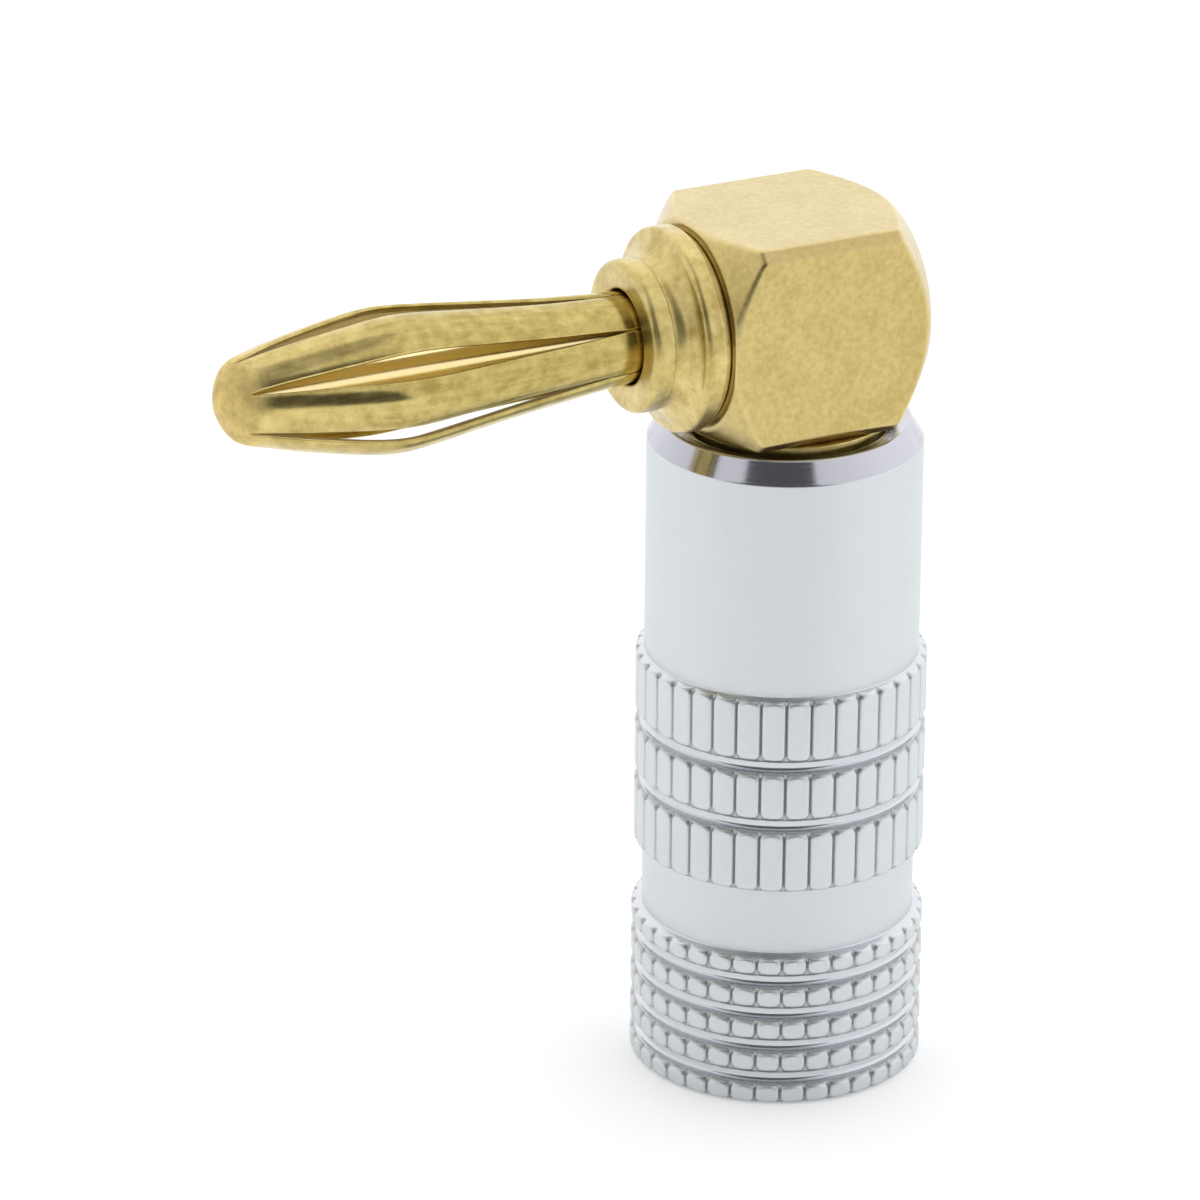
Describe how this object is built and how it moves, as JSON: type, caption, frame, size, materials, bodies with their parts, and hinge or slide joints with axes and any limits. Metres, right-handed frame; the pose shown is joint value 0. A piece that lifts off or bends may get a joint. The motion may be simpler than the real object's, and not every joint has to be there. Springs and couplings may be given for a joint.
{
  "type": "right-angle banana plug",
  "caption": "Right-angle banana plug: leafed spring contact pin on a gold angle block, with a wire terminal inside a knurled screw-off sleeve.",
  "frame": {"origin": "centre of the cable hole on the sleeve's end face", "axes": "+Z along the sleeve from its cable end to the angle block, -X along the contact pin towards its nose"},
  "size_m": [0.0277, 0.0106, 0.0328],
  "materials": {
    "satin_silver": "satin chrome on brass with bright-cut rim and grooves",
    "gold_plate": "satin gold plate on turned brass",
    "gold_spring": "glossy gold plate on spring bronze",
    "screw_steel": "plain steel"
  },
  "bodies": {
    "sleeve": {"outer_sleeve": "satin_silver"},
    "core": {"terminal_post": "gold_plate", "angle_block": "gold_plate", "pin_collar": "gold_plate", "core_pin": "gold_spring", "contact_spring": "gold_spring"},
    "screw_lower": {"set_screw_lower": "screw_steel"},
    "screw_upper": {"set_screw_upper": "screw_steel"}
  },
  "joints": [
    {"name": "core_release", "type": "slide", "parent": "sleeve", "child": "core", "axis": [0, 0, 1], "range_m": [0, 0.021]},
    {"name": "lower_screw_travel", "type": "slide", "parent": "core", "child": "screw_lower", "axis": [0, 1, 0], "range_m": [0, 0.0012]},
    {"name": "upper_screw_travel", "type": "slide", "parent": "core", "child": "screw_upper", "axis": [0, 1, 0], "range_m": [0, 0.0012]}
  ]
}
